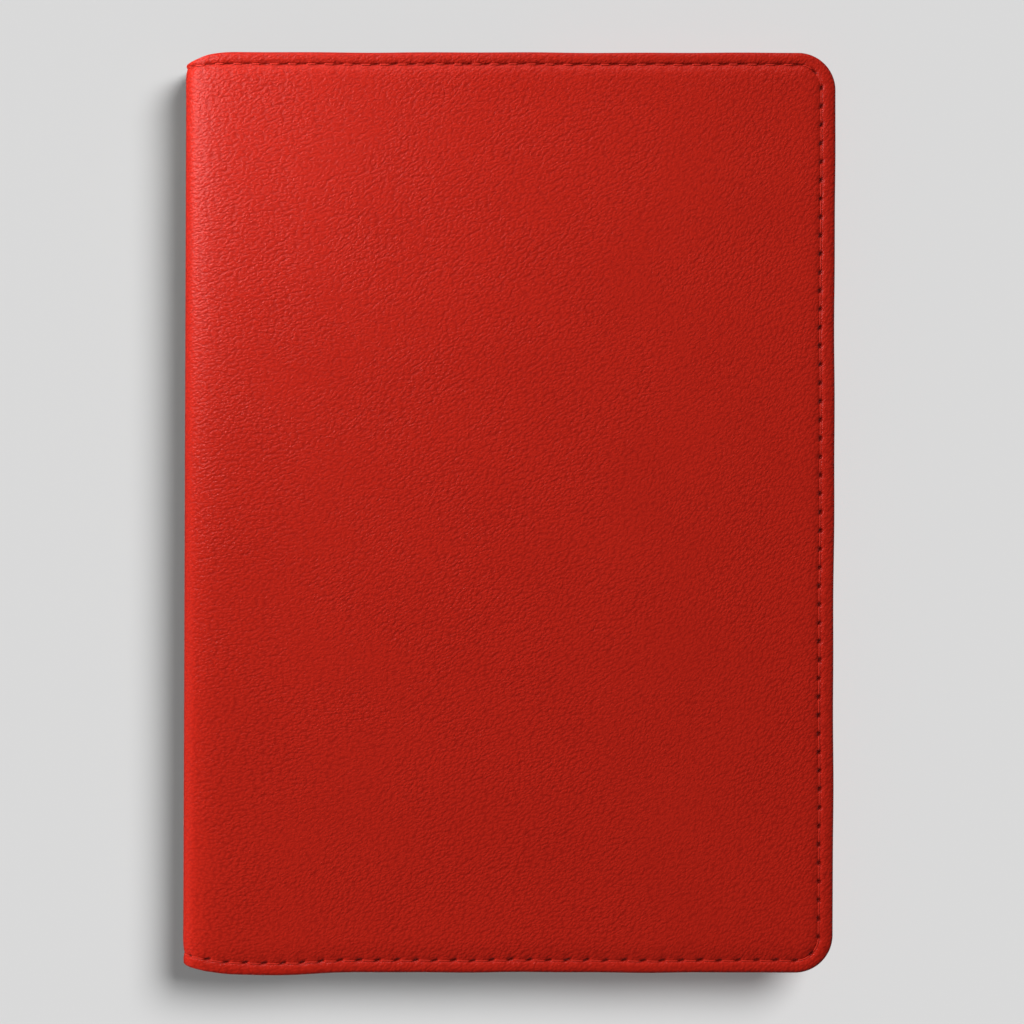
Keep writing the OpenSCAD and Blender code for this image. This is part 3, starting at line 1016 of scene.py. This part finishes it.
# ------------------------------------------------------------------ floor, lights and camera
def floor_material():
    m, nt, b = new_material("floor_grey")
    b.inputs["Base Color"].default_value = (0.72, 0.72, 0.72, 1)
    b.inputs["Roughness"].default_value = 1.0
    b.inputs["Specular IOR Level"].default_value = 0.0
    return m


me = bpy.data.meshes.new("floor")
me.from_pydata([(-3, -3, 0), (3, -3, 0), (3, 3, 0), (-3, 3, 0)], [], [(0, 1, 2, 3)])
floor = bpy.data.objects.new("floor", me)
floor.location = (0, 0, -0.00002)
bpy.context.scene.collection.objects.link(floor)
me.materials.append(floor_material())
floor.visible_glossy = False
floor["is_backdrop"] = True

scene = bpy.context.scene
scene.view_settings.view_transform = "Standard"
scene.view_settings.look = "None"
scene.view_settings.exposure = 0
scene.view_settings.gamma = 1

world = bpy.data.worlds.new("soft_grey")
scene.world = world
world.use_nodes = True
bg = world.node_tree.nodes["Background"]
bg.inputs[0].default_value = (1, 1, 1, 1)
bg.inputs[1].default_value = 0.055
world.cycles_visibility.glossy = False

object_set = bpy.data.collections.new("object_lit")
floor_set = bpy.data.collections.new("floor_lit")
floor_set.objects.link(floor)


def aim(ob, at):
    d = Vector(at) - ob.location
    ob.rotation_mode = "QUATERNION"
    ob.rotation_quaternion = d.to_track_quat("-Z", "Y")


def area(name, place_at, at, size, power, colour=(1, 1, 1), receivers=None, size_y=None):
    data = bpy.data.lights.new(name, "AREA")
    data.shape = "RECTANGLE" if size_y else "SQUARE"
    data.size = size
    if size_y:
        data.size_y = size_y
    data.energy = power
    data.color = colour
    ob = bpy.data.objects.new(name, data)
    scene.collection.objects.link(ob)
    ob.location = place_at
    aim(ob, at)
    if receivers is not None:
        ob.light_linking.receiver_collection = receivers
    return ob


def sun(name, direction, strength, angle, receivers=None):
    data = bpy.data.lights.new(name, "SUN")
    data.energy = strength
    data.angle = math.radians(angle)
    ob = bpy.data.objects.new(name, data)
    scene.collection.objects.link(ob)
    ob.location = Vector(direction)
    aim(ob, (0, 0, 0))
    if receivers is not None:
        ob.light_linking.receiver_collection = receivers
    return ob


# The floor has its own light from the upper right, which gives the shadow at the spine and tail,
# and the leather has its own from the upper left.
key_floor = sun("floor_key", (0.62, 0.54, 1.0), 2.84, 32, floor_set)
fill_floor = sun("floor_fill", (0, 0, 1), 0.67, 5, floor_set)
fill_floor.data.use_shadow = False
key_object = sun("object_key", (-0.45, 0.75, 1.0), 2.35, 16, object_set)
key_object.visible_glossy = False
near = area("near_top_left", (-0.155, 0.152, 0.110), (-0.04, 0.05, 0.016), 0.10, 0.240, receivers=object_set)
near.visible_glossy = False
# lamps at the left lie along the spine: size is along it, size_y up and down
low_left = area("low_left", (-0.320, -0.150, 0.060), (-0.077, -0.115, 0.012), 0.03, 0.43, receivers=object_set)
low_left.visible_glossy = False
gloss_left = area("gloss_left", (-0.20, 0.125, 0.115), (-0.074, 0.110, 0.014), 0.07, 0.195, receivers=object_set, size_y=0.15)
gloss_over = area("gloss_over", (-0.098, 0.100, 0.070), (-0.068, 0.095, 0.016), 0.07, 0.0034, receivers=object_set, size_y=0.02)
gloss_left.visible_diffuse = gloss_over.visible_diffuse = False
strip_top = area("strip_top", (-0.06, 0.26, 0.12), (-0.02, 0.05, 0.016), 0.30, 0.110, receivers=object_set, size_y=0.06)

cam_data = bpy.data.cameras.new("camera")
cam = bpy.data.objects.new("camera", cam_data)
scene.collection.objects.link(cam)
scene.camera = cam
DIST = 0.95
WIDE = 0.2444
cam_data.sensor_width = 36
cam_data.lens = 36 * DIST / WIDE
cam.location = (0.00080, 0.00005, T * MM + DIST)
cam.rotation_euler = (0, 0, math.radians(0.07))
cam_data.clip_start, cam_data.clip_end = 0.01, 10
cam_data.dof.use_dof = False

# everything that belongs to the object takes the object's own lights
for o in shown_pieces():
    object_set.objects.link(o)
    # the floor stays grey beside the cover, with no red thrown onto it
    if o.name.endswith("cover_leather"):
        o.visible_diffuse = False
